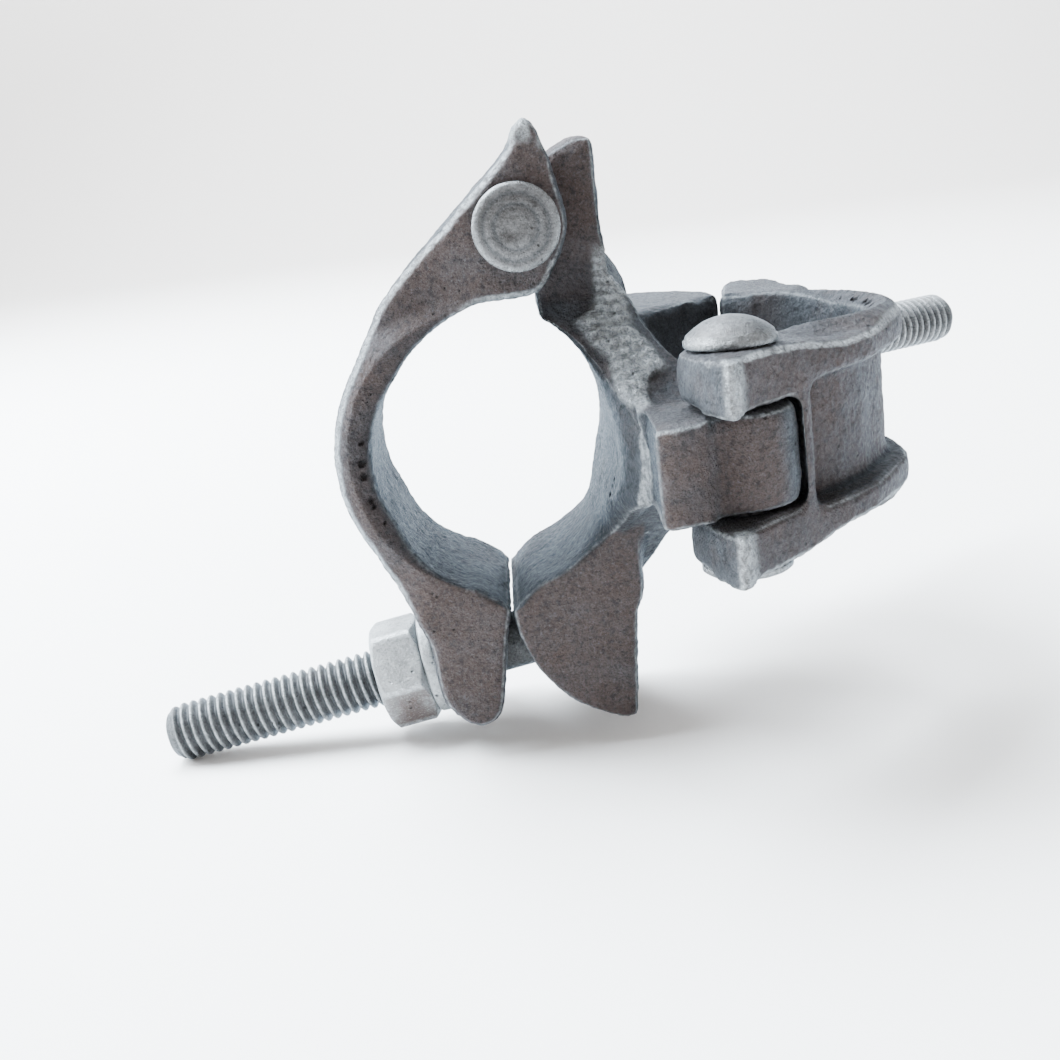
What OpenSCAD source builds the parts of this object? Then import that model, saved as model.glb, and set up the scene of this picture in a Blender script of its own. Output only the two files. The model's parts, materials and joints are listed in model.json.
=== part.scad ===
// Drop-forged right-angle scaffold coupler for two round tubes.
// Tube A runs along Y on the left side, tube B runs along Z on the right side.
// Every clamp part is drawn once in a side view (u, v) and given its width along w:
// u points away from the body, v towards the hinge, w along the tube.
// The origin is on tube A's axis, in the middle of its seat. A half turn about the body's
// diagonal carries clamp A onto clamp B.

/* [Tubes] */
// Outer diameter of the scaffold tubes
tube_d = 48.3; // [48.3:0.1:48.3]
// Radial clearance of both seats round the tube
seat_play = 0.1; // [0.05:0.01:0.15]
// Distance between the two tubes' axes
axis_gap = 54; // [54:0.5:56]

/* [Caps] */
// Width of a cap along the tube
cap_w = 40; // [38:0.5:41]
// Radius of a cap's outer rails round the tube's axis
rail_r = 32; // [31:0.25:32.5]
// Depth of the recess between the rails
recess = 4.4; // [1:0.1:4.6]
// Width of the recess between the rails
recess_w = 23; // [14:1:24]

/* [Hinge] */
// Hinge pin's place across the body, from the tube's axis
pin_u = -9.5; // [-10:0.25:-9]
// Hinge pin's height above the tube's axis
pin_v = 43.3; // [43:0.1:44]
// Rivet diameter
rivet_d = 10; // [9:0.5:11]
// Diameter of the rivet's heads
rivet_head_d = 16.8; // [15:0.2:18]
// Width of the body's hinge lug
lug_w = 19; // [17:0.5:19]
// Side play between the lug and each ear
ear_play = 0.3; // [0.2:0.05:0.4]

/* [Bolts] */
// Bolt's outer diameter
bolt_d = 12.7; // [12.7:0.1:12.7]
// Thread pitch
pitch = 2.117; // [2:0.001:2.2]
// Bolt's length from the middle of its T-head
bolt_len = 95.8; // [90:0.1:98]
// Tilt of bolt A away from its cap
tilt_a = 9.3; // [9:0.1:10]
// Tilt of bolt B away from its cap, swung out of the slot
tilt_b = 28.7; // [28:0.1:32]
// How far nut B is backed off from its seat
back_off_b = 10.6; // [10:0.1:12]
// Nut's width across flats
nut_af = 21.3; // [21:0.1:22]
// Nut's height
nut_h = 10.6; // [10:0.1:11]
// Thickness of the collar under the nut
collar_h = 3; // [2.5:0.1:3]

/* [Hidden] */
$fn = 96;
zinc = "silver";
dull_zinc = "darkgray";

seat_r = tube_d / 2 + seat_play;
lug_r = 10.8;
eye_r = 10.2;
ear_w = cap_w / 2;
gap_w = lug_w / 2 + ear_play;
lug_clear = 0.8;
ear_sweep = 11.3;
lip_gap = 0.35;
dome_h = 5.2;
peened_h = 2.6;

// Plane where the two halves of the body run into each other
mid_u = -axis_gap / 2 - 0.4;

// T-head's pivot in the body, and the seat that the nut bears on
pivot_u = -15.5;
pivot_v = -43;
t_head_r = 6.5;
t_head_half = 14.5;
pocket_half = t_head_half + 0.3;
t_play = 0.08;
slot_w = 14.2;
foot_seat_r = 33.3;
seat_gap = 0.08;
cheek_u = -27.4;
cheek_v = -32.35;
cheek_r = 27.6;

// Wings of a saddle: half their length along the tube, and their thickness
wing_half = 37;
wing_t = 7;

function polar(r, a) = [r * cos(a), r * sin(a)];
function arc(centre, r, from, to, n) = [for (i = [0:n]) centre + polar(r, from + (to - from) * i / n)];

module place_a() rotate([90, 0, 180]) children();
module place_b() translate([axis_gap, 0, 0]) rotate([180, 0, 0]) children();
module slab(w) linear_extrude(w, center = true) children();
module at_pin() translate([pin_u, pin_v, 0]) children();

// A bolt's own frame: x runs along the bolt from its pivot, z stays along the tube
module along_bolt(tilt, distance = 0)
    translate([pivot_u, pivot_v, 0]) rotate([0, 0, -tilt]) translate([distance, 0, 0]) children();
module turned(points) rotate([0, 90, 0]) rotate_extrude() polygon(points);

// Clear opening for the tube: a circle with rounder relief towards the lips and the hinge
module tube_opening() {
    circle(r = seat_r);
    translate([0.1, -6.4]) circle(r = 21.75);
    translate([-1.2, 6.3]) circle(r = 21.2);
    intersection() {
        translate([-9.6, -1.7]) circle(r = 32.7);
        translate([-12, 0]) square([40, 29.6]);
    }
}

// ---- Caps ----

module ear_outline() {
    at_pin() circle(r = eye_r);
    polygon([[-13.2, 63.2], [-11.4, 61.8], [-9.6, 58.2], [-7, 55.2], [-2, 50.8], [4, 45.2], [4, 28],
        [-9, 28], [-13.8, 31], [-16.8, 35.6], [-18.8, 40], [-18.9, 47.5], [-17.6, 54], [-15.2, 61.4]]);
}

// The arm's outline from the ears round the tube to the foot, given its outer edge by the hinge
module arm_outline(outer_r, shoulder) polygon(concat(
    shoulder,
    arc([0, 0], outer_r, 30, -30, 16),
    [[16, -34], [3, -22], [8, 10], [-2, 26], [-9, 28]]));

module rail_outline() arm_outline(rail_r, [[-9, 40], [0, 47.5], [4, 45.2], [12.2, 38.2], [19.2, 31]]);

module web_outline() arm_outline(rail_r - recess, [[-9, 36], [1, 37], [6, 35.6], [12, 31], [17.5, 24.5]]);

module foot_outline() polygon(concat(
    [[3, -22], [20, -15], [27.7, -16], [25.2, -21.5], [22.3, -27.4], [20.2, -33]],
    arc([pivot_u, pivot_v], foot_seat_r, 6, -17, 8),
    arc([9.6, -52.2], 5.4, -15, -170, 8),
    [[3, -46], [1.6, -37], [lip_gap, -32.5], [lip_gap, -27]]));

module cap() {
    difference() {
        union() {
            slab(cap_w) difference() {
                web_outline();
                tube_opening();
            }
            for (side = [-1, 1]) translate([0, 0, side * (cap_w + recess_w) / 4])
                slab((cap_w - recess_w) / 2) difference() {
                    rail_outline();
                    tube_opening();
                }
            slab(cap_w) difference() {
                foot_outline();
                tube_opening();
            }
            slab(2 * ear_w) difference() {
                ear_outline();
                tube_opening();
            }
        }
        // Fork for the hinge lug
        at_pin() cylinder(h = 2 * gap_w, r = lug_r + lug_clear, center = true);
        translate([-34, 27, -gap_w]) cube([34 + pin_u + 0.3, 50, 2 * gap_w]);
        translate([-34, pin_v, -gap_w]) cube([30, 30, 2 * gap_w]);
        // Rivet's bore in both ears
        at_pin() cylinder(h = 3 * ear_w, d = rivet_d, center = true);
        // Open slot for the bolt
        translate([-6, -43, 0]) rotate([0, 90, 0]) cylinder(h = 60, d = slot_w);
        translate([-6, -43 - 40, -slot_w / 2]) cube([60, 40, slot_w]);
    }
}

// ---- Hinge rivets ----

// Domed head that stands on the ear's face
module rivet_head(height) {
    rim = 1.5;
    r = rivet_head_d / 2;
    dome = height - rim;
    ball_r = (r * r + dome * dome) / (2 * dome);
    rotate_extrude() polygon(concat(
        [[0, 0], [r, 0], [r, rim]],
        [for (i = [1:12]) let (a = asin(r / ball_r) * (1 - i / 12))
            [ball_r * sin(a), height - ball_r + ball_r * cos(a)]]));
}

module rivet(dome_side) at_pin() {
    cylinder(h = 2 * ear_w, d = rivet_d, center = true);
    translate([0, 0, dome_side * ear_w]) rotate([dome_side > 0 ? 0 : 180, 0, 0]) rivet_head(dome_h);
    translate([0, 0, -dome_side * ear_w]) rotate([dome_side > 0 ? 180 : 0, 0, 0]) rivet_head(peened_h);
}

// ---- Bolts, collars and nuts ----

module t_bolt(tilt) along_bolt(tilt) {
    root_r = bolt_d / 2 - 0.64 * pitch;
    plain = 30;
    turns = floor((bolt_len - plain - 3) / pitch);
    cylinder(h = 2 * t_head_half, r = t_head_r, center = true);
    turned(concat(
        [[0, 0], [bolt_d / 2 - 0.2, 0], [bolt_d / 2 - 0.2, plain], [root_r, plain + 0.5]],
        [for (i = [0:turns - 1], k = [0:3]) [k == 1 || k == 2 ? bolt_d / 2 : root_r,
            plain + 0.5 + pitch * (i + [0.08, 0.42, 0.58, 0.92][k])]],
        [[root_r, bolt_len - 1.2], [root_r - 1.2, bolt_len], [0, bolt_len]]));
}

module collar(tilt, back_off) along_bolt(tilt, foot_seat_r + seat_gap + back_off) turned([
    [bolt_d / 2 + 0.4, 0], [10.9, 0], [10.9, collar_h - 0.6], [10.3, collar_h], [bolt_d / 2 + 0.4, collar_h]]);

module nut(tilt, back_off) along_bolt(tilt, foot_seat_r + seat_gap + collar_h + back_off) difference() {
    corner_r = nut_af / 2 / cos(30);
    chamfer = 1.3;
    intersection() {
        rotate([0, 90, 0]) cylinder(h = nut_h, r = corner_r, $fn = 6);
        turned([[0, 0], [nut_af / 2, 0], [corner_r + 0.2, chamfer], [corner_r + 0.2, nut_h - chamfer],
            [nut_af / 2, nut_h], [0, nut_h]]);
    }
    rotate([0, 90, 0]) translate([0, 0, -1]) cylinder(h = nut_h + 2, d = bolt_d + 0.1);
}

// ---- Body ----

// Outline of a saddle's wings, seen along u: v across, w up
module wing_outline() {
    for (side = [0, 1]) mirror([0, side]) polygon([[-7, 36.4], [0, wing_half], [3.5, 35], [8, 31],
        [28.5, 9.5], [38, 6], [38, -1], [-40, -1], [-40, 20], [-18, 20], [-16, 22.5], [-12, 28.5], [-10, 34.5]]);
}

module saddle() intersection() {
    slab(2 * wing_half) difference() {
        union() {
            circle(r = seat_r + wing_t);
            polygon([[mid_u, 12], [mid_u, 33], [-20, 32], [-15, 31], [-12, 28], [-8, 20]]);
            polygon([[mid_u, -8], [mid_u, -32], [0, -32], [0, -20]]);
        }
        translate([-1.5, -60]) square([60, 120]);
        translate([-12, 0]) square([60, 60]);
        at_pin() circle(r = ear_sweep);
    }
    // The wings' outline cut through along u
    rotate([90, 0, 90]) translate([0, 0, -60]) linear_extrude(70) wing_outline();
}

module hinge_lug() slab(lug_w) {
    at_pin() circle(r = lug_r);
    polygon([[pin_u, pin_v - lug_r], [-13, 27], [mid_u, 12], [mid_u, 36], [-26.5, 38], [-26.5, 58.7],
        [-22, 58.6], [-17.5, 56.4], [-13.6, 53.2]]);
}

// Two cheeks that hold the T-head between them
module bolt_lug() slab(cap_w) {
    intersection() {
        translate([cheek_u, cheek_v]) circle(r = cheek_r);
        polygon([[-26.9, -20], [10, -20], [10, -70], [-22.6, -70]]);
    }
    polygon([[mid_u, -13], [mid_u, -34], [0, -34], [0, -28.6], [-2.4, -26.4]]);
}

module t_head_pocket() {
    translate([pivot_u, pivot_v, 0]) {
        cylinder(h = 2 * pocket_half, r = t_head_r + t_play, center = true);
        // Open back, through which the head goes in
        translate([-30, -40, -pocket_half]) cube([30, 40 + t_head_r + t_play, 2 * pocket_half]);
    }
    // Slot between the cheeks, open outwards and downwards
    translate([-29, pivot_v, -slot_w / 2]) cube([60, t_head_r + 1.4, slot_w]);
    translate([-29, -80, -slot_w / 2]) cube([60, 80 + pivot_v, slot_w]);
}

module half_body() {
    saddle();
    hinge_lug();
    bolt_lug();
}

module half_body_cuts() {
    slab(120) tube_opening();
    at_pin() cylinder(h = 2 * lug_w, d = rivet_d + 0.12, center = true);
    t_head_pocket();
}

module body() color(zinc) difference() {
    union() {
        place_a() half_body();
        place_b() half_body();
        translate([axis_gap / 2, 0, 0]) cube([4, 40, 40], center = true);
    }
    place_a() half_body_cuts();
    place_b() half_body_cuts();
}

module cap_a() color(zinc) place_a() cap();
module cap_b() color(zinc) place_b() cap();
module hinge_rivet_a() color(dull_zinc) place_a() rivet(1);
module hinge_rivet_b() color(dull_zinc) place_b() rivet(-1);
module t_bolt_a() color(dull_zinc) place_a() t_bolt(tilt_a);
module t_bolt_b() color(dull_zinc) place_b() t_bolt(tilt_b);
module collar_a() color(zinc) place_a() collar(tilt_a, 0);
module collar_b() color(zinc) place_b() collar(tilt_b, back_off_b);
module nut_a() color(zinc) place_a() nut(tilt_a, 0);
module nut_b() color(zinc) place_b() nut(tilt_b, back_off_b);

body();
cap_a();
cap_b();
hinge_rivet_a();
hinge_rivet_b();
t_bolt_a();
t_bolt_b();
collar_a();
collar_b();
nut_a();
nut_b();
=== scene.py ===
import json
import math

import bmesh
import bpy
import numpy as np
from mathutils import Matrix, Vector, noise


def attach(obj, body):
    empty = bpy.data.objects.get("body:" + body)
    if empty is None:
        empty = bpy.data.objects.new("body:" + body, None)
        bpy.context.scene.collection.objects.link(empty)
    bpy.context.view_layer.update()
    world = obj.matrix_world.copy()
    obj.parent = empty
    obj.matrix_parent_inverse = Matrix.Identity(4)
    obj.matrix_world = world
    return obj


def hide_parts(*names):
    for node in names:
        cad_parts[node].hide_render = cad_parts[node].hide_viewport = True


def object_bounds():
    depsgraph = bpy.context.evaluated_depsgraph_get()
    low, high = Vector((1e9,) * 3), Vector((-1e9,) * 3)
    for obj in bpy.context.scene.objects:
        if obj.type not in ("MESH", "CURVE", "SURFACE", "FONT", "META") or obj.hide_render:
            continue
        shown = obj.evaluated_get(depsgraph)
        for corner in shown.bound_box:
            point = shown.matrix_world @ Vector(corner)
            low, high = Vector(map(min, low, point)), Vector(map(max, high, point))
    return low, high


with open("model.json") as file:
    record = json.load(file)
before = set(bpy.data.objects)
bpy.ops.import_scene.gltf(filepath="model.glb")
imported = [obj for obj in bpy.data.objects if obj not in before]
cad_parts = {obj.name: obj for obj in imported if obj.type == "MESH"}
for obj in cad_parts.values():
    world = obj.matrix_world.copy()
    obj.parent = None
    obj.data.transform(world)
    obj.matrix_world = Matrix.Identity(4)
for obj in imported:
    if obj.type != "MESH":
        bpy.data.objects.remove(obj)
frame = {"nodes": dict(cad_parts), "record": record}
cad_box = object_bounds()
joints = {j["name"]: j for j in frame["record"]["behaviour"]["joints"]}

# The frame is in metres; every shape below is worked out in millimetres
MM = 0.001
# Between the two tubes' axes, and the radius of a tube's seat
AXIS_GAP = 54.0
SEAT_R = 24.25

# Camera: place in mm, then yaw, pitch and roll in degrees, and the lens on its sensor in mm
CAMERA_PLACE = (6.2, -289.8, 58.4)
CAMERA_TURN = (-0.21, -15.41, -6.95)
SENSOR, LENS = 36, 47.55

# Lights, in metres and watts: place, size, power, colour and the point that the light faces
LIGHTS = {
    "top_window": ((-0.45, 0.40, 1.0), (1.1, 0.8), 118, (0.86, 0.94, 1.0), (0.02, 0, 0)),
    "left_back": ((-0.9, 0.25, 0.45), (0.5, 0.4), 28, (0.88, 0.95, 1.0), (0.02, 0, 0)),
    "wall_wash": ((0.0, 0.9, 1.5), (1.6, 0.4), 60, (1.0, 0.99, 0.98), (0.0, 2.1, 0.9)),
}
WORLD_COLOUR, WORLD_STRENGTH = (1.0, 0.945, 0.905, 1), 0.88

# Floor, in metres: it runs from FRONT to BACK, bends up over BEND and ends in a wall
FLOOR_FRONT, FLOOR_BACK, FLOOR_HALF, WALL_TOP = -4.0, 1.6, 4.0, 4.0
FLOOR_BEND, FLOOR_DROP = 0.5, 0.0002
FLOOR_COLOUR, FLOOR_ROUGHNESS, FLOOR_SHEEN = (0.97, 0.97, 0.97, 1), 0.95, 0.1


# ---------------------------------------------------------------- camera, light and floor

def look_at_frame(location, yaw, pitch, roll):
    """Camera matrix from its place and its three angles in degrees; yaw 0 looks along +Y."""
    yaw, pitch, roll = (math.radians(a) for a in (yaw, pitch, roll))
    forward = Vector((math.sin(yaw) * math.cos(pitch), math.cos(yaw) * math.cos(pitch), math.sin(pitch)))
    right = Vector((math.cos(yaw), -math.sin(yaw), 0))
    up = right.cross(forward)
    side = right * math.cos(roll) + up * math.sin(roll)
    top = up * math.cos(roll) - right * math.sin(roll)
    matrix = Matrix((side, top, -forward)).transposed().to_4x4()
    matrix.translation = location
    return matrix


def add_camera():
    data = bpy.data.cameras.new("camera")
    data.sensor_width = SENSOR
    data.lens = LENS
    data.clip_start = 0.01
    camera = bpy.data.objects.new("camera", data)
    bpy.context.scene.collection.objects.link(camera)
    camera.matrix_world = look_at_frame(Vector(CAMERA_PLACE) * MM, *CAMERA_TURN)
    bpy.context.scene.camera = camera


def add_area(name, place, size, power, colour, target):
    data = bpy.data.lights.new(name, "AREA")
    data.shape = "RECTANGLE"
    data.size, data.size_y = size
    data.energy = power
    data.color = colour
    light = bpy.data.objects.new(name, data)
    bpy.context.scene.collection.objects.link(light)
    aim = (Vector(target) - Vector(place)).to_track_quat("-Z", "Y").to_matrix().to_4x4()
    light.matrix_world = Matrix.Translation(place) @ aim


def add_stage():
    """A pale floor that curves up into a far wall, one mesh."""
    low = cad_box[0][2] - FLOOR_DROP
    profile = [(FLOOR_FRONT, 0.0), (FLOOR_BACK, 0.0)]
    profile += [(FLOOR_BACK + FLOOR_BEND * math.sin(a), FLOOR_BEND * (1 - math.cos(a)))
                for a in np.linspace(0, math.pi / 2, 16)[1:]]
    profile += [(FLOOR_BACK + FLOOR_BEND, WALL_TOP)]
    vertices = [(x, y, low + z) for y, z in profile for x in (-FLOOR_HALF, FLOOR_HALF)]
    faces = [(2 * i, 2 * i + 1, 2 * i + 3, 2 * i + 2) for i in range(len(profile) - 1)]
    mesh = bpy.data.meshes.new("floor")
    mesh.from_pydata(vertices, [], faces)
    mesh.polygons.foreach_set("use_smooth", [True] * len(faces))
    floor = bpy.data.objects.new("floor", mesh)
    bpy.context.scene.collection.objects.link(floor)
    material = bpy.data.materials.new("pale_floor")
    material.use_nodes = True
    shader = material.node_tree.nodes["Principled BSDF"]
    shader.inputs["Base Color"].default_value = FLOOR_COLOUR
    shader.inputs["Roughness"].default_value = FLOOR_ROUGHNESS
    shader.inputs["Specular IOR Level"].default_value = FLOOR_SHEEN
    mesh.materials.append(material)


def add_world():
    world = bpy.data.worlds.new("world")
    world.use_nodes = True
    background = world.node_tree.nodes["Background"]
    background.inputs["Color"].default_value = WORLD_COLOUR
    background.inputs["Strength"].default_value = WORLD_STRENGTH
    bpy.context.scene.world = world


# ---------------------------------------------------------------- materials

# Colours of the marks on the zinc; the flank brown is painted shade
FLANK_SHADE_BROWN, PATCH_PINK = (0.082, 0.059, 0.052), (0.105, 0.072, 0.060)
# Cavity blue is painted shade; chip silver is worn zinc and partly a painted highlight
CAVITY_SHADE_BLUE, CHIP_AND_HIGHLIGHT_SILVER, PIT_BLACK = (0.016, 0.020, 0.025), (0.42, 0.45, 0.47), (0.010, 0.009, 0.008)
# The zinc's clear reflection, weak and bluish
SHEEN, SHEEN_TINT = 0.22, (0.50, 0.62, 0.74, 1)


class Nodes:
    """Short calls for building one material's nodes."""

    def __init__(self, name):
        self.material = bpy.data.materials.new(name)
        self.material.use_nodes = True
        self.tree = self.material.node_tree
        self.shader = self.tree.nodes["Principled BSDF"]
        self.place = self.add("ShaderNodeTexCoord").outputs["Object"]

    def add(self, kind, **settings):
        node = self.tree.nodes.new(kind)
        for key, value in settings.items():
            setattr(node, key, value)
        return node

    def link(self, source, target):
        self.tree.links.new(source, target)

    def noise(self, scale, detail=4.0, roughness=0.55):
        """Noise whose scale is in features per millimetre."""
        node = self.add("ShaderNodeTexNoise")
        node.inputs["Scale"].default_value = scale / MM
        node.inputs["Detail"].default_value = detail
        node.inputs["Roughness"].default_value = roughness
        self.link(self.place, node.inputs["Vector"])
        return node.outputs["Fac"]

    def attribute(self, name):
        return self.add("ShaderNodeAttribute", attribute_name=name).outputs["Fac"]

    def span(self, value, low, high, to_low=0.0, to_high=1.0):
        node = self.add("ShaderNodeMapRange")
        node.inputs["From Min"].default_value = low
        node.inputs["From Max"].default_value = high
        node.inputs["To Min"].default_value = to_low
        node.inputs["To Max"].default_value = to_high
        self.link(value, node.inputs["Value"])
        return node.outputs["Result"]

    def mix(self, factor, first, second):
        node = self.add("ShaderNodeMix", data_type="RGBA")
        self.link(factor, node.inputs[0])
        for value, socket in ((first, node.inputs[6]), (second, node.inputs[7])):
            if isinstance(value, tuple):
                socket.default_value = value + (1,)
            else:
                self.link(value, socket)
        return node.outputs[2]

    def math(self, operation, first, second):
        node = self.add("ShaderNodeMath", operation=operation)
        for value, socket in zip((first, second), node.inputs):
            if isinstance(value, (int, float)):
                socket.default_value = value
            else:
                self.link(value, socket)
        return node.outputs[0]

    def bump(self, height, distance, strength, under=None):
        node = self.add("ShaderNodeBump")
        node.inputs["Distance"].default_value = distance * MM
        node.inputs["Strength"].default_value = strength
        self.link(height, node.inputs["Height"])
        if under is not None:
            self.link(under, node.inputs["Normal"])
        return node.outputs["Normal"]


def zinc(name, dark, light, rough, grain, metal, flank_shade_mix=0.0):
    """Hot-dip zinc: mottled greys, fine grain, dark pits, painted shade as browner flanks and darker
    cavities, and bright worn edges that are partly a painted highlight.
    """
    n = Nodes(name)
    mottle = n.span(n.noise(0.11, 7, 0.66), 0.36, 0.64)
    colour = n.mix(mottle, dark, light)
    if flank_shade_mix:
        # Painted shade: flat flanks, and on some parts the faces turned to the viewer or down, are painted
        # browner and duller than the seats
        flank_shade = n.math("MULTIPLY", n.attribute("flank_shade"), n.span(n.noise(0.05, 4, 0.6), 0.30, 0.55, 0.45, 1))
        colour = n.mix(n.math("MULTIPLY", flank_shade, flank_shade_mix), colour, FLANK_SHADE_BROWN)
    pink = n.math("MULTIPLY", n.span(n.noise(0.04, 4, 0.55), 0.50, 0.60),
                  n.span(n.noise(0.3, 4, 0.65), 0.40, 0.60))
    colour = n.mix(n.math("MULTIPLY", pink, 0.30), colour, PATCH_PINK)
    # Light and dark grains, then larger dark clusters
    speckle = n.noise(2.3, 4, 0.8)
    colour = n.mix(n.span(speckle, 0.54, 0.68, 0, 0.45), colour, tuple(min(1, c * 1.5) for c in light))
    colour = n.mix(n.span(speckle, 0.47, 0.34, 0, 0.70), colour, tuple(c * 0.30 for c in dark))
    colour = n.mix(n.span(n.noise(0.8, 5, 0.7), 0.49, 0.37, 0, 0.55), colour, tuple(c * 0.45 for c in dark))
    # Painted shade in concave corners, seats, hollows, seams and bores
    colour = n.mix(n.math("MULTIPLY", n.attribute("cavity_shade"), 0.8), colour, CAVITY_SHADE_BLUE)
    # Bright worn zinc on edges, partly a painted highlight
    chips_and_highlight = n.math("MULTIPLY", n.attribute("wear_and_highlight"), n.span(n.noise(0.9, 6, 0.8), 0.43, 0.56, 0.30, 1))
    colour = n.mix(chips_and_highlight, colour, CHIP_AND_HIGHLIGHT_SILVER)
    pit_spots = n.add("ShaderNodeTexVoronoi", feature="F1")
    pit_spots.inputs["Scale"].default_value = 0.40 / MM
    n.link(n.place, pit_spots.inputs["Vector"])
    pits = n.math("MULTIPLY", n.span(pit_spots.outputs["Distance"], 0.17, 0.07),
                  n.span(n.noise(0.06, 3, 0.5), 0.52, 0.58))
    pits = n.math("MAXIMUM", n.math("MULTIPLY", pits, 0.9), n.attribute("pits"))
    colour = n.mix(n.math("MULTIPLY", pits, 0.9), colour, PIT_BLACK)
    n.link(colour, n.shader.inputs["Base Color"])
    n.shader.inputs["Metallic"].default_value = metal
    n.shader.inputs["Specular IOR Level"].default_value = SHEEN
    n.shader.inputs["Specular Tint"].default_value = SHEEN_TINT
    roughness = n.span(n.noise(1.1, 4, 0.7), 0.3, 0.7, rough - 0.16, rough + 0.16)
    n.link(n.math("SUBTRACT", roughness, n.math("MULTIPLY", chips_and_highlight, 0.18)), n.shader.inputs["Roughness"])
    fine = n.bump(n.noise(2.0, 4, 0.8), 0.75 * grain, 1.0)
    coarse = n.bump(n.noise(0.9, 4, 0.7), 0.90 * grain, 0.9, fine)
    n.link(n.bump(n.math("MULTIPLY", pits, -1.0), 0.5, 0.8, coarse), n.shader.inputs["Normal"])
    return n.material


# ---------------------------------------------------------------- mesh helpers

def to_local(points, clamp):
    """Row-frame millimetres to a clamp's own (u, v, w)."""
    x, y, z = points.T
    if clamp == "a":
        return np.stack([-x, z, y], 1)
    return np.stack([x - AXIS_GAP, -y, -z], 1)


def from_local(points, clamp):
    """A clamp's own (u, v, w) back to row-frame millimetres."""
    u, v, w = points.T
    if clamp == "a":
        return np.stack([-u, w, v], 1)
    return np.stack([AXIS_GAP + u, -v, -w], 1)


def local_normals(normals, clamp):
    """Row-frame directions in a clamp's own axes."""
    if clamp == "b":
        normals = normals + np.array([AXIS_GAP, 0, 0])
    return to_local(normals, clamp)


def step(values, low, high):
    """Smooth rise from 0 at low to 1 at high."""
    t = np.clip((values - low) / (high - low), 0, 1)
    return t * t * (3 - 2 * t)


def field(points, scale, seed):
    """Noise of about -1 to 1 at each point, with features of scale millimetres."""
    offset = Vector((seed * 17.3, seed * 5.1, seed * 9.7))
    return np.array([noise.noise(Vector(p) / scale + offset) for p in points])


class Surface:
    """A mesh as arrays, in millimetres, that smoothing and shaping can work on."""

    def __init__(self, mesh):
        count = len(mesh.vertices)
        flat = np.empty(count * 3)
        mesh.vertices.foreach_get("co", flat)
        self.points = flat.reshape(-1, 3) / MM
        edges = np.empty(len(mesh.edges) * 2, dtype=np.int32)
        mesh.edges.foreach_get("vertices", edges)
        self.edges = edges.reshape(-1, 2)
        self.mesh = mesh
        self.valence = np.bincount(self.edges.ravel(), minlength=count).astype(float)

    def average(self, values):
        """Each point's mean of its neighbours' values, which are rows."""
        a, b = self.edges.T
        count = len(values)
        total = np.zeros_like(values)
        for k in range(values.shape[1]):
            total[:, k] = np.bincount(a, values[b, k], count) + np.bincount(b, values[a, k], count)
        return total / self.valence[:, None]

    def smooth(self, rounds, weight):
        for _ in range(rounds):
            self.points += weight[:, None] * (self.average(self.points) - self.points)

    def normals(self):
        self.write()
        flat = np.empty(len(self.points) * 3)
        self.mesh.vertex_normals.foreach_get("vector", flat)
        return flat.reshape(-1, 3)

    def write(self):
        self.mesh.vertices.foreach_set("co", (self.points * MM).ravel())
        self.mesh.update()

    def colour(self, name, values):
        """Store one value of 0 to 1 per point, for the material to read."""
        layer = self.mesh.attributes.new(name, "FLOAT", "POINT")
        layer.data.foreach_set("value", np.clip(values, 0, 1).astype(np.float32))


def new_piece(name, mesh, body, material, nodes):
    """Put a finished mesh in the scene, riding its body in place of its CAD nodes."""
    mesh.name = name
    mesh.materials.clear()
    mesh.materials.append(material)
    mesh.polygons.foreach_set("use_smooth", [True] * len(mesh.polygons))
    piece = bpy.data.objects.new(name, mesh)
    bpy.context.scene.collection.objects.link(piece)
    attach(piece, body)
    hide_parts(*nodes)


def remeshed(node, voxel):
    """A CAD node's shape in even small quads."""
    copy = bpy.data.objects.new("copy", frame["nodes"][node].data.copy())
    bpy.context.scene.collection.objects.link(copy)
    modifier = copy.modifiers.new("remesh", "REMESH")
    modifier.mode = "VOXEL"
    modifier.voxel_size = voxel * MM
    graph = bpy.context.evaluated_depsgraph_get()
    mesh = bpy.data.meshes.new_from_object(copy.evaluated_get(graph))
    old = copy.data
    bpy.data.objects.remove(copy)
    bpy.data.meshes.remove(old)
    return mesh


# ---------------------------------------------------------------- forgings

VOXEL = 0.5
# Smoothing that rounds the edges, in rounds at a voxel of this size
ROUNDS, ROUNDS_VOXEL = 14, 0.6
# The rough skin is sunk by this much, so that its peaks stay near the CAD faces
SKIN_DEPTH = 0.14
# A cap's arm: its flanks fall away on both sides of a crease at this radius
ARM_R, RIDGE_R, INNER_FALL, OUTER_FALL = 32.0, 28.6, 2.4, 1.9
# Hinge pin's place in a clamp's own (u, v)
PIN_U, PIN_V = -9.5, 43.3
# Trim scar on the hinge side of a wing, in (u, |w|), and the pitch of its ribs
SCAR = [(-29.4, 37), (-27.0, 37), (-24.8, 33), (-24.4, 25), (-24.3, 17), (-24.5, 11), (-26.5, 9),
        (-27.6, 8.8), (-28, 14), (-29.2, 16.5), (-32.8, 20), (-35, 24), (-31.9, 25), (-30.4, 27), (-30.2, 34)]
RIB_PITCH = 1.9
# Rim of a wing in (v, |w|), the wing's outer radius, and how far and how deep its rim flares
WING_RIM = [(-40, 20), (-18, 20), (-16, 22.5), (-12, 28.5), (-10, 34.5), (-7, 36.4), (0, 37), (3.5, 35),
            (8, 31), (28.5, 9.5), (38, 6)]
WING_OUTER, FLARE, FLARE_LENGTH = 31.2, 4.5, 9.0
# Share of the cavity-shade mask for a face that looks at a tube: painted shade that makes the seats darker
SEAT_SHADE = 0.5
# How far down the lips turn into the gap, and how far from it they start to
LIP_DROP, LIP_REACH = 4.2, 6.0


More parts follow.
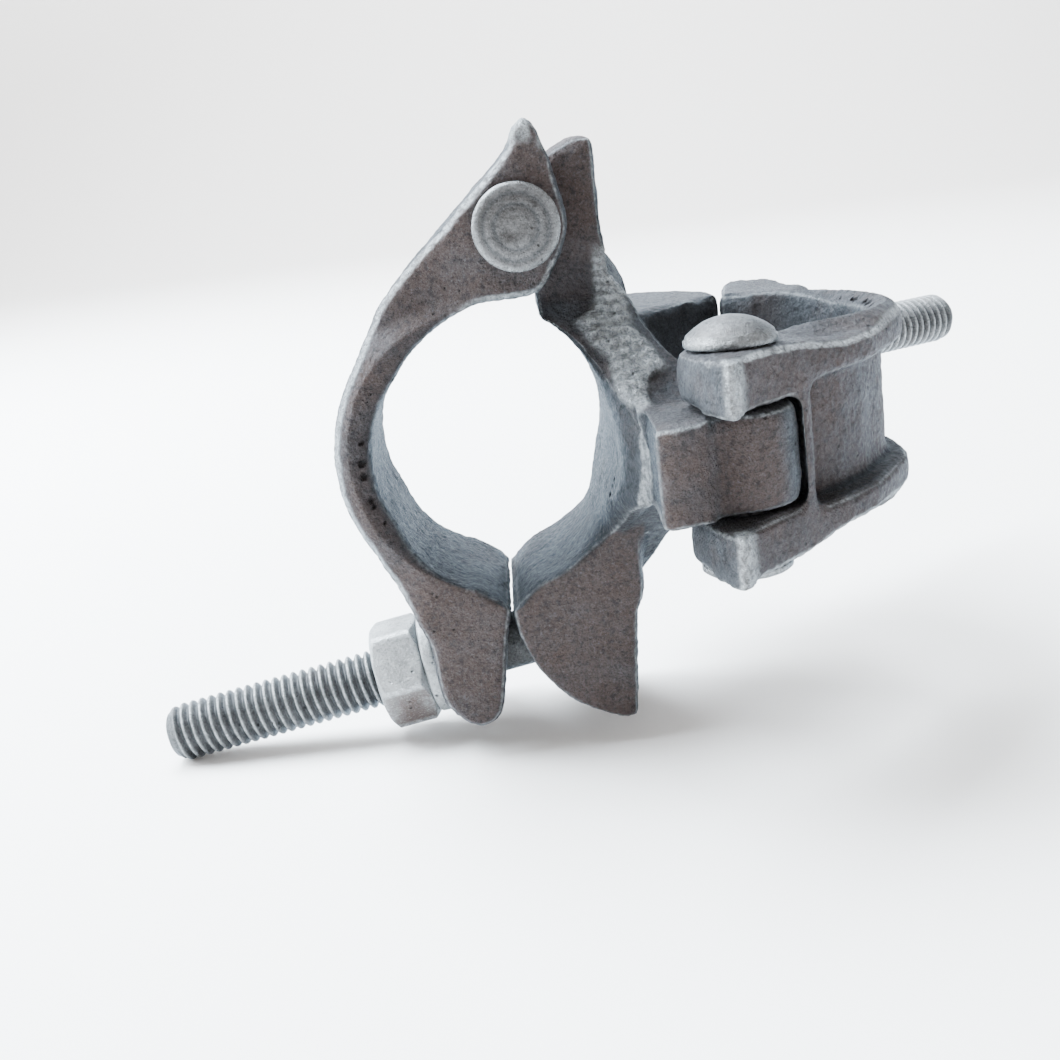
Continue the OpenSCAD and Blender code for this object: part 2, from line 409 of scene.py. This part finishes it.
def forged(name, node, body, material, seed, shape):
    """A forging from its CAD node: rounded edges, draft shapes, rough skin, and masks of worn edges that are
    partly a painted highlight and of painted shade.
    """
    surface = Surface(remeshed(node, VOXEL))
    sharp = surface.points.copy()
    rounds = round(ROUNDS * (ROUNDS_VOXEL / VOXEL) ** 2)
    surface.smooth(rounds, np.full(len(sharp), 0.5))
    # How far smoothing sank each point: over 0 on outer edges, under 0 in corners
    lost = ((sharp - surface.points) * surface.normals()).sum(1)
    wear_and_highlight, pits, flank_shade, hollow_shade, calm = shape(surface, rounds, lost)
    points = surface.points
    normals = surface.normals()
    patches = field(points, 9, seed)
    bumps = 0.20 * patches + 0.13 * field(points, 3.4, seed + 1) + 0.12 * field(points, 1.5, seed + 2)
    grain = 0.14 * field(points, 0.9, seed + 3) * (1 - 0.7 * calm)
    grain += 0.30 * wear_and_highlight * field(points, 1.6, seed + 4) * (1 - calm)
    bumps += grain
    bumps -= 0.5 * pits
    surface.points = points + normals * (bumps - SKIN_DEPTH)[:, None]
    surface.write()
    # Bright worn edges, partly a painted highlight
    edges = step(lost + 0.15 * patches, 0.20, 0.62) * 0.85
    surface.colour("wear_and_highlight", np.maximum(edges * (1 - hollow_shade), wear_and_highlight))
    # Painted shade in concave corners and hollows
    surface.colour("cavity_shade", np.maximum(step(-lost, 0.06, 0.5), hollow_shade))
    surface.colour("pits", pits)
    # Painted shade, tinted brown in the material, on the flanks
    surface.colour("flank_shade", flank_shade)
    new_piece(name, surface.mesh, body, material, [node])


def spots(local, places, radius):
    """Mask of round spots at the given (u, v, w) places."""
    mask = np.zeros(len(local))
    for k, place in enumerate(places):
        size = radius * (0.7 + 0.6 * ((k * 7) % 5) / 4)
        distance = np.linalg.norm(local - np.array(place), axis=1)
        mask = np.maximum(mask, 1 - step(distance, 0.55 * size, 1.1 * size))
    return mask


def band(values, low, high, soft):
    """1 between low and high, falling to 0 over soft on both sides."""
    return step(values, low - soft, low) * (1 - step(values, high, high + soft))


def lips(u, v):
    """Where a cap and the body meet under the tube."""
    return band(u, -5.5, 5.5, 1.5) * band(v, -29.5, -19, 1.5)


def notch_lips(surface, clamp):
    """Turn both lips down into the gap, so that they meet in a shallow V."""
    local = to_local(surface.points, clamp)
    u, v = local[:, 0], local[:, 1]
    reach = np.clip(1 - np.abs(u) / LIP_REACH, 0, 1) ** 1.6
    local[:, 1] -= LIP_DROP * reach * step(v, -34, -27.5) * (1 - step(v, -22, -18))
    surface.points = from_local(local, clamp)


def seat_face(local, outward):
    """Which points face a tube: their normals point at its axis."""
    radius = np.hypot(local[:, 0], local[:, 1])
    inward = -(outward[:, 0] * local[:, 0] + outward[:, 1] * local[:, 1]) / np.maximum(radius, 1)
    return step(inward, 0.3, 0.7) * (radius < 32)


def cap_shape(clamp):
    """A cap's shape step: round ear ends and edges, drafted flanks, casting pits, worn edges that are partly
    a painted highlight, and painted shade on flanks and seats.
    """

    def shape(surface, rounds, lost):
        notch_lips(surface, clamp)
        u, v, w = to_local(surface.points, clamp).T
        convex = step(lost, 0.02, 0.25)
        ear_end = step(-u, 12.5, 15) * step(v, 28, 32) * (1 - step(v, 52, 55))
        # Edges on the side away from the body, from the beak down along the arm
        ear_edge = step(u + 0.9 * v, 34, 38) * (1 - step(v, 57, 60))
        arm_edge = step(np.hypot(u, v), 29, 30.5) * (v < 36)
        outer = np.maximum(ear_edge, arm_edge) * convex
        weight = np.maximum(ear_end, np.maximum(0.7 * outer, lips(u, v)))
        surface.smooth(4 * rounds, 0.5 * weight)
        local = to_local(surface.points, clamp)
        u, v, w = local.T
        radius = np.hypot(u, v)
        angle = np.degrees(np.arctan2(v, u))
        arm = step(angle, -60, -46) * (1 - step(angle, 70, 96))
        outside = step(np.abs(w), 14.5, 19.0)
        # Draft on the flanks: a crease that both sides fall away from
        crease = RIDGE_R + 0.5 * np.sin(np.radians(angle * 2))
        inner = np.clip((crease - radius) / (crease - SEAT_R - 0.05), 0, 1)
        inner *= step(angle, -75, -50) * (1 - step(angle, 86, 108))
        outer_fall = np.clip((radius - crease) / (ARM_R - crease), 0, 1.3) * arm
        local[:, 2] -= np.sign(w) * outside * (INNER_FALL * inner + OUTER_FALL * outer_fall)
        surface.points = from_local(local, clamp)
        # Bright worn outer rim and beak, partly a painted highlight
        rough_rim = step(angle, -62, -48) * step(np.abs(w), 13, 16) * outer
        beak = step(v, 57.5, 60.5) * band(u, -13.6, -9, 1.0)
        turn = np.arange(9)
        web_pits = [(27.6 * math.cos(a), 27.6 * math.sin(a), -6 + 2.3 * ((3 * k) % 5))
                    for k, a in zip(turn, np.radians(-34 + 3.1 * turn))]
        rim_pits = [(26.2 * math.cos(a), 26.2 * math.sin(a), side * 18.3)
                    for a in np.radians([12, 3, -3, -14, -17, -26]) for side in (-1, 1)]
        pits = np.maximum(spots(local, web_pits, 0.9), spots(local, rim_pits, 0.8))
        normals = local_normals(surface.normals(), clamp)
        # Painted shade, tinted brown: flat flanks, and on cap b the faces turned to the viewer
        flank_shade = step(np.abs(normals[:, 2]), 0.45, 0.85)
        if clamp == "b":
            flank_shade = np.maximum(0.3 * flank_shade, 0.9 * step(normals[:, 1] + 0.5 * normals[:, 0], 0.35, 0.8))
        wear_and_highlight = np.clip(0.85 * rough_rim + 0.9 * beak, 0, 0.95)
        # Painted shade on the seats
        return wear_and_highlight, pits, flank_shade, SEAT_SHADE * seat_face(local, normals), np.zeros(len(u))
    return shape


def inside(outline, a, b):
    """Which points (a, b) lie inside a closed outline."""
    within = np.zeros(len(a), dtype=bool)
    for (a0, b0), (a1, b1) in zip(outline, outline[1:] + outline[:1]):
        crosses = (b0 > b) != (b1 > b)
        within ^= crosses & (a < (a1 - a0) * (b - b0) / (b1 - b0 + 1e-12) + a0)
    return within


def flare_seat(surface, clamp):
    """Open the seat's rims out like a bell, so that the wings end in thin edges."""
    local = to_local(surface.points, clamp)
    u, v, w = local.T
    radius = np.hypot(u, v)
    to_rim = np.interp(v, *zip(*WING_RIM)) - np.abs(w)
    flare = FLARE * np.clip(1 - to_rim / FLARE_LENGTH, 0, 1.0) ** 2 * (1 - step(-to_rim, 0, 3))
    flare *= step(-u, 1, 6) * band(v, -16, 12, 7) * (1 - 0.7 * step(v, 4, 14))
    share = np.clip((WING_OUTER - radius) / (WING_OUTER - SEAT_R), 0, 1)
    grow = 1 + flare * share / np.maximum(radius, 1)
    local[:, 0] = u * grow
    local[:, 1] = v * grow
    surface.points = from_local(local, clamp)


def soften_body(surface, rounds, lost):
    """Round the lug ends, lips and cheek rims, turn the lips down and flare the seats."""
    weight = np.zeros(len(surface.points))
    for clamp in "ab":
        u, v, w = to_local(surface.points, clamp).T
        pin = np.hypot(u - PIN_U, v - PIN_V)
        lug_end = (u > -16) * step(pin, 6, 8) * (v > 34) * step(np.abs(w), 4.5, 6.5)
        radius = np.hypot(u, v)
        cheek_rim = (radius < 28) * (v < -8) * step(-u, -1, 2) * band(np.abs(w), 16, 22, 1)
        cheek_rim *= step(lost, 0.01, 0.15)
        weight = np.maximum(weight, np.maximum(0.8 * lug_end, np.maximum(lips(u, v), 0.6 * cheek_rim)))
    surface.smooth(4 * rounds, 0.5 * weight)
    for clamp in "ab":
        notch_lips(surface, clamp)
        flare_seat(surface, clamp)
    weight = np.zeros(len(surface.points))
    for clamp in "ab":
        u, v, w = to_local(surface.points, clamp).T
        wing = band(np.hypot(u, v), 26, 36, 3) * step(-u, 8, 14) * step(np.abs(w), 12, 18)
        weight = np.maximum(weight, wing)
    surface.smooth(3 * rounds, 0.5 * weight)


def body_shape(surface, rounds, lost):
    """The body's shape step: soft rims, a ribbed trim scar, fins with bright edges that are partly a painted
    highlight, pits, and painted shade: browner flanks and darker seats, wing backs and lug sides.
    """
    soften_body(surface, rounds, lost)
    normals = surface.normals()
    count = len(surface.points)
    wear_and_highlight, pits, flank_shade, hollow_shade, push, calm = (np.zeros(count) for _ in range(6))
    for clamp in "ab":
        local = to_local(surface.points, clamp)
        u, v, w = local.T
        radius = np.hypot(u, v)
        height = np.abs(w)
        outward = local_normals(normals, clamp)
        facing = step(outward[:, 1], 0.2, 0.5) * (v > 2) * (w < 0)
        # Trim scar: a bright ribbed strip down the wing's rim, wider above the lug
        scar = (inside(SCAR, u, height) * facing)[:, None]
        for _ in range(5):
            scar = 0.5 * (scar + surface.average(scar))
        scar = scar[:, 0]
        ribs = np.sin(2 * math.pi * height / RIB_PITCH + 0.9 * np.sin(u * 1.1))
        push += scar * (0.45 + 0.14 * ribs)
        wear_and_highlight = np.maximum(wear_and_highlight, scar * (0.86 + 0.14 * ribs))
        calm = np.maximum(calm, scar)
        # The wing's back, beside the scar, is sunk and gets a little painted shade
        shaded_back = band(u, -60, -WING_OUTER, 0.8) * band(height, 15, 34, 2) * facing
        shaded_back *= (1 - scar) * step(radius, 26, 28)
        push -= 0.5 * shaded_back
        hollow_shade = np.maximum(hollow_shade, np.maximum(0.35 * shaded_back, SEAT_SHADE * seat_face(local, outward)))
        # Casting pits in two rows along the seat
        line = [(-24.1 * math.cos(a), 24.1 * math.sin(a), side * 20.0)
                for a in np.radians(range(-38, -6, 4)) for side in (-1, 1)]
        pits = np.maximum(pits, spots(local, line, 0.5))
        # Fin: the flared rim ends in a bright edge, worn zinc that is partly a painted highlight; the other
        # clamp's lug side next to it gets a painted shadow, and on clamp b it is also sunk
        edge = band(radius, 27.6, 30.5, 0.5) * band(v, -11.5, 6, 1.5)
        edge *= band(height, 34.2, 37.5, 0.6) * (u < -20)
        wear_and_highlight = np.maximum(wear_and_highlight, 0.7 * edge)
        shadowed_lug_side = band(u, -27.5, -25.5, 0.3) * band(v, 38.5, 56.5, 1.0) * (height < 10)
        shadowed_lug_side *= step(-outward[:, 0], 0.5, 0.8)
        hollow_shade = np.maximum(hollow_shade, (0.8 if clamp == "b" else 0.3) * shadowed_lug_side)
        if clamp == "b":
            push -= 1.1 * shadowed_lug_side
        # Painted shade, tinted brown: flat faces and the lugs' outer faces
        flat = step(np.abs(outward[:, 2]), 0.6, 0.92) * (0.3 if clamp == "b" else 1.0)
        lug_face = step(outward[:, 1], 0.6, 0.9) * step(v, 40, 46)
        flank_shade = np.maximum(flank_shade, (u < 3) * (u > -28) * np.maximum(flat, lug_face))
    surface.points += normals * push[:, None]
    return wear_and_highlight, pits, flank_shade, hollow_shade, calm


# ---------------------------------------------------------------- hardware

# Sides of the turned shells, and rows of points in one turn of thread
RIVET_SIDES, HEAD_SIDES, NUT_SIDES, COLLAR_SIDES = 96, 48, 96, 72
BOLT_SIDES = 56
THREAD_ROWS = 9
# Sizes in mm that the CAD source gives these parts
EAR_HALF = 20.0
PIN_R, HEAD_R, RIM_H = 5.0, 8.4, 1.5
DOME_H, PEENED_H = 5.2, 2.6
SHANK_R, CREST_R, ROOT_R = 6.15, 6.35, 5.0
PITCH, PLAIN, BOLT_LENGTH = 2.117, 30.0, 95.8
T_HEAD_R, HEAD_HALF = 6.5, 14.5
NUT_FLATS, NUT_HEIGHT, NUT_CONE = 21.3, 10.6, 1.3
COLLAR_R, COLLAR_H, COLLAR_BORE = 10.9, 3.0, 6.75
# The nut's bore has 0.08 more radius than in the CAD source, so that the bolt's thread stays clear of it
NUT_BORE = 6.48
# Along a bolt from its pivot to its collar, for each clamp
COLLAR_AT = {"a": 33.38, "b": 43.98}
ALONG_TUBE = {"a": (0, 1, 0), "b": (0, 0, -1)}
# A bolt's peened end: (inset from the rim, drop from the tip)
PEENED_END = [(0.15, 1.15), (0.45, 0.6), (1.0, 0.25), (1.9, 0.08), (2.8, 0.02), (3.5, 0), (4.1, 0), (4.6, 0),
              (5.0, 0), (ROOT_R + 0.4, 0)]
# The flats that face this way, down and to the viewer, get painted shade, tinted brown
SHADED_SIDE = np.array([0, -0.8, -0.6])


class Seat:
    """A turned part's own frame, in mm: its place, its axis, and the side where angles start."""

    def __init__(self, place, axis, side):
        self.place = np.array(place, dtype=float)
        self.axis = np.array(axis, dtype=float)
        self.side = np.array(side, dtype=float)
        self.other = np.cross(self.axis, self.side)

    def moved(self, along):
        """The same seat, further along its axis."""
        return Seat(self.place + self.axis * along, self.axis, self.side)

    def shell(self, angles, columns, closed_ring=False):
        """Points and faces from one profile of (along, radius) per angle."""
        count, rows = len(angles), len(columns[0])
        points = []
        for angle, column in zip(angles, columns):
            out = self.side * math.cos(angle) + self.other * math.sin(angle)
            points += [self.place + self.axis * along + out * radius for along, radius in column]
        faces = []
        last = rows if closed_ring else rows - 1
        for i in range(count):
            a, b = i * rows, ((i + 1) % count) * rows
            faces += [(a + k, b + k, b + (k + 1) % rows, a + (k + 1) % rows) for k in range(last)]
        return np.array(points), faces

    def radius(self, points):
        """Each point's distance from the axis, and its place along it."""
        offset = points - self.place
        along = offset @ self.axis
        return np.linalg.norm(offset - along[:, None] * self.axis, axis=1), along


def shell_mesh(name, shells, wobble, seed):
    """One mesh from closed shells in mm; points that meet on an axis are merged."""
    build = bmesh.new()
    for points, faces in shells:
        shake = np.stack([field(points, 2.6, seed + k) for k in range(3)], 1)
        shake += 0.5 * np.stack([field(points, 0.9, seed + 5 + k) for k in range(3)], 1)
        made = [build.verts.new(Vector(p) * MM) for p in points + wobble * shake]
        for face in faces:
            build.faces.new([made[i] for i in face])
        bmesh.ops.remove_doubles(build, verts=made, dist=0.004 * MM)
    bmesh.ops.dissolve_degenerate(build, edges=build.edges, dist=0.002 * MM)
    bmesh.ops.recalc_face_normals(build, faces=build.faces)
    mesh = bpy.data.meshes.new(name)
    build.to_mesh(mesh)
    build.free()
    return mesh


def paint(mesh, wear_and_highlight, cavity_shade, flank_shade=0.0):
    """Store a turned part's masks on its mesh."""
    surface = Surface(mesh)
    surface.colour("wear_and_highlight", wear_and_highlight)
    surface.colour("cavity_shade", cavity_shade)
    surface.colour("pits", np.zeros(len(surface.points)))
    surface.colour("flank_shade", np.zeros(len(surface.points)) + flank_shade)


def mesh_points(mesh):
    return Surface(mesh).points


def turn_angles(sides):
    return np.linspace(0, 2 * math.pi, sides, endpoint=False)


def head_profile(height, steps=12):
    """A rivet's head above the ear's face: rounded rim, then a shallow dome up to the middle."""
    crown = height - RIM_H
    ball = (HEAD_R ** 2 + crown ** 2) / (2 * crown)
    rim = [(0, PIN_R), (0, HEAD_R - 0.3), (0.25, HEAD_R), (RIM_H - 0.35, HEAD_R),
           (RIM_H - 0.05, HEAD_R - 0.35)]
    spread = math.asin(HEAD_R / ball)
    dome = [(height - ball + ball * math.cos(a), ball * math.sin(a))
            for a in np.linspace(spread, 0, steps + 1)[1:]]
    return rim + dome


def rivet(name, clamp, near_height, far_height, body):
    """Hinge rivet: a head on the near side (w < 0) and one on the far side; the lower one is hammered."""
    seat = PIN[clamp]
    near = [(-EAR_HALF - along, radius) for along, radius in head_profile(near_height)]
    far = [(EAR_HALF + along, radius) for along, radius in head_profile(far_height)]
    profile = near[::-1] + far
    flat = min(near_height, far_height)
    columns = []
    for angle in turn_angles(RIVET_SIDES):
        column = []
        for along, radius in profile:
            hammered = (near_height == flat and along < 0) or (far_height == flat and along > 0)
            if hammered and abs(along) > EAR_HALF + RIM_H:
                away = math.hypot(radius * math.cos(angle) + 1.2, radius * math.sin(angle) - 0.9)
                dent = 0.7 * math.exp(-(away / 1.5) ** 2) + 0.26 * math.exp(-((radius - 6.2) / 0.5) ** 2)
                dent += 0.30 * math.exp(-((radius - 4.1) / 0.45) ** 2)
                along -= math.copysign(dent, along)
            column.append((along, radius))
        columns.append(column)
    mesh = shell_mesh(name, [seat.shell(turn_angles(RIVET_SIDES), columns)], wobble=0.05, seed=31 + len(name))
    radius, along = seat.radius(mesh_points(mesh))
    # Bright worn head rim, partly a painted highlight
    rim_wear = step(radius, HEAD_R - 1.1, HEAD_R - 0.3) * 0.5
    seam = step(radius, HEAD_R - 0.6, HEAD_R) * (1 - step(np.abs(along), EAR_HALF + 0.1, EAR_HALF + 0.5))
    hammered = (along < 0) if near_height == flat else (along > 0)
    rings = np.maximum(band(radius, 6.0, 6.4, 0.4), band(radius, 3.9, 4.3, 0.4)) * hammered
    # Painted shade in the seam under the head's rim and in the hammered rings
    paint(mesh, rim_wear, np.maximum(seam, 0.5 * rings))
    new_piece(name, mesh, body, rivet_zinc, ["hinge_rivet_" + clamp])


def thread_height(turns):
    """Rounded rolled thread, 0 at the root and 1 on the crest."""
    return (0.5 - 0.5 * math.cos(2 * math.pi * turns)) ** 0.75


def t_bolt(name, clamp):
    """T-headed bolt: cross head, plain shank, rolled helical thread and a peened, punched end."""
    seat = PIVOT[clamp]
    start, stop = PLAIN, BOLT_LENGTH - 1.7
    count = int((stop - start) / PITCH * THREAD_ROWS)
    columns = []
    for angle in turn_angles(BOLT_SIDES):
        column = [(-0.5, 0.0), (-0.5, 3.0), (0.5, SHANK_R), (PLAIN * 0.5, SHANK_R), (PLAIN - 1.0, SHANK_R)]
        for k in range(count + 1):
            along = start + (stop - start) * k / count
            height = thread_height(along / PITCH - angle / (2 * math.pi))
            grown = min(1, max(0, (along - start) / PITCH), max(0, (stop - along + 1.0) / PITCH))
            root = SHANK_R + (ROOT_R - SHANK_R) * grown
            column.append((along, root + (CREST_R - root) * height * grown))
        for inset, drop in PEENED_END:
            radius = max(0.0, ROOT_R + 0.4 - inset)
            away = math.hypot(radius * math.cos(angle) + 1.3, radius * math.sin(angle) - 1.3)
            dot = 0.9 * math.exp(-(away / 0.95) ** 2)
            column.append((BOLT_LENGTH - drop - dot, radius))
        columns.append(column)
    shank = seat.shell(turn_angles(BOLT_SIDES), columns)
    cross = Seat(seat.place, seat.side, seat.axis)
    half = [(HEAD_HALF, 0), (HEAD_HALF, 4.0), (HEAD_HALF - 0.1, 5.5), (HEAD_HALF - 0.45, 6.15),
            (HEAD_HALF - 1.0, T_HEAD_R), (9, T_HEAD_R), (5, T_HEAD_R), (1.5, T_HEAD_R)]
    profile = half + [(-along, radius) for along, radius in half[::-1]]
    head = cross.shell(turn_angles(HEAD_SIDES), [profile] * HEAD_SIDES)
    mesh = shell_mesh(name, [shank, head], wobble=0.035, seed=47)
    radius, along = seat.radius(mesh_points(mesh))
    threaded = step(along, start, start + 2) * (1 - step(along, stop - 1, stop))
    # Bright thread crests, worn zinc and partly a painted highlight; painted shade in the roots
    paint(mesh, step(radius, CREST_R - 0.28, CREST_R - 0.02) * 0.75 * threaded,
          0.5 * (1 - step(radius, ROOT_R, ROOT_R + 0.75)) * threaded)
    new_piece(name, mesh, "bolt_" + clamp, bolt_zinc, ["t_bolt_" + clamp])


def nut(name, clamp, along):
    """Hexagon nut, both ends turned to a cone, with its bore opened by a countersink."""
    seat = PIVOT[clamp].moved(along)
    corner = NUT_FLATS / 2 / math.cos(math.pi / 6)
    inner = NUT_FLATS / 2 - 0.25
    columns = []
    angles = turn_angles(NUT_SIDES)
    for angle in angles:
        within = (angle + math.pi / 6) % (math.pi / 3) - math.pi / 6
        reach = min(NUT_FLATS / 2 / math.cos(math.pi / 6 - abs(within)), corner - 0.18)
        rise = NUT_CONE * (reach - inner) / (corner - inner)
        half = [(0.9, NUT_BORE), (0.05, NUT_BORE + 0.85), (0, NUT_BORE + 1.1), (0, (NUT_BORE + inner) / 2),
                (0, inner - 0.4), (0.05, inner), (rise * 0.5, (inner + reach) / 2), (rise, reach - 0.1),
                (rise + 0.15, reach - 0.02), (rise + 0.5, reach), (NUT_HEIGHT * 0.35, reach)]
        columns.append(half + [(NUT_HEIGHT - a, r) for a, r in half[::-1]])
    mesh = shell_mesh(name, [seat.shell(angles, columns, closed_ring=True)], wobble=0.06, seed=53)
    radius, place = seat.radius(mesh_points(mesh))
    ends = 1 - step(np.minimum(place, NUT_HEIGHT - place), 0.3, 1.4)
    # Bright worn corners and rims, partly a painted highlight
    rims = 0.7 * ends * step(radius, inner - 0.4, inner)
    edges = np.maximum(step(radius, corner - 0.7, corner - 0.25), rims)
    # Painted shade, tinted brown, on the flats that face down and to the viewer
    underside_shade = 2.2 * step(Surface(mesh).normals() @ SHADED_SIDE, 0.55, 0.80)
    # Painted shade in the bore
    paint(mesh, edges, 1 - step(radius, NUT_BORE + 0.2, NUT_BORE + 1.3), underside_shade)
    new_piece(name, mesh, name, nut_zinc, [name])


def collar(name, clamp, along):
    """Stamped collar under the nut, with rounded edges."""
    seat = PIVOT[clamp].moved(along)
    half = [(0.45, COLLAR_BORE), (0.12, COLLAR_BORE + 0.15), (0, COLLAR_BORE + 0.5), (0, COLLAR_R - 0.9),
            (0.15, COLLAR_R - 0.3), (0.5, COLLAR_R - 0.05), (0.9, COLLAR_R)]
    profile = half + [(COLLAR_H - a, r) for a, r in half[::-1]]
    shell = seat.shell(turn_angles(COLLAR_SIDES), [profile] * COLLAR_SIDES, closed_ring=True)
    mesh = shell_mesh(name, [shell], wobble=0.05, seed=61)
    radius, _ = seat.radius(mesh_points(mesh))
    # Bright worn rim, partly a painted highlight; painted shade in the bore
    edges = step(radius, COLLAR_R - 0.5, COLLAR_R - 0.1) * 0.7
    paint(mesh, edges, 1 - step(radius, COLLAR_BORE, COLLAR_BORE + 0.8))
    new_piece(name, mesh, name, nut_zinc, [name])


# ---------------------------------------------------------------- build

def place_of(joint):
    """A joint's place in millimetres."""
    return np.array(joints[joint]["pos_m"]) / MM


PIN = {c: Seat(place_of(f"cap_{c}_hinge"), ALONG_TUBE[c], (1, 0, 0)) for c in "ab"}
PIVOT = {c: Seat(place_of(f"bolt_{c}_swing"), joints[f"nut_{c}_run"]["axis"], ALONG_TUBE[c]) for c in "ab"}

forged_zinc = zinc("forged_zinc", dark=(0.050, 0.051, 0.055), light=(0.106, 0.115, 0.128),
                   rough=0.47, grain=1.0, metal=0.55, flank_shade_mix=0.85)
rivet_zinc = zinc("rivet_zinc", dark=(0.075, 0.072, 0.071), light=(0.140, 0.141, 0.144),
                  rough=0.36, grain=0.22, metal=0.65)
bolt_zinc = zinc("bolt_zinc", dark=(0.085, 0.087, 0.089), light=(0.160, 0.165, 0.170),
                 rough=0.40, grain=0.3, metal=0.65)
nut_zinc = zinc("nut_zinc", dark=(0.24, 0.25, 0.255), light=(0.37, 0.385, 0.395),
                rough=0.42, grain=0.2, metal=0.45, flank_shade_mix=0.95)

forged("forged_body", "body", "body", forged_zinc, seed=1, shape=body_shape)
forged("forged_cap_a", "cap_a", "cap_a", forged_zinc, seed=5, shape=cap_shape("a"))
forged("forged_cap_b", "cap_b", "cap_b", forged_zinc, seed=9, shape=cap_shape("b"))
rivet("rivet_a", "a", near_height=PEENED_H, far_height=DOME_H, body="cap_a")
rivet("rivet_b", "b", near_height=DOME_H, far_height=PEENED_H, body="cap_b")
for clamp in "ab":
    t_bolt("threaded_bolt_" + clamp, clamp)
    collar("collar_" + clamp, clamp, COLLAR_AT[clamp])
    nut("nut_" + clamp, clamp, COLLAR_AT[clamp] + COLLAR_H)

add_camera()
add_stage()
add_world()
for name, setting in LIGHTS.items():
    add_area(name, *setting)
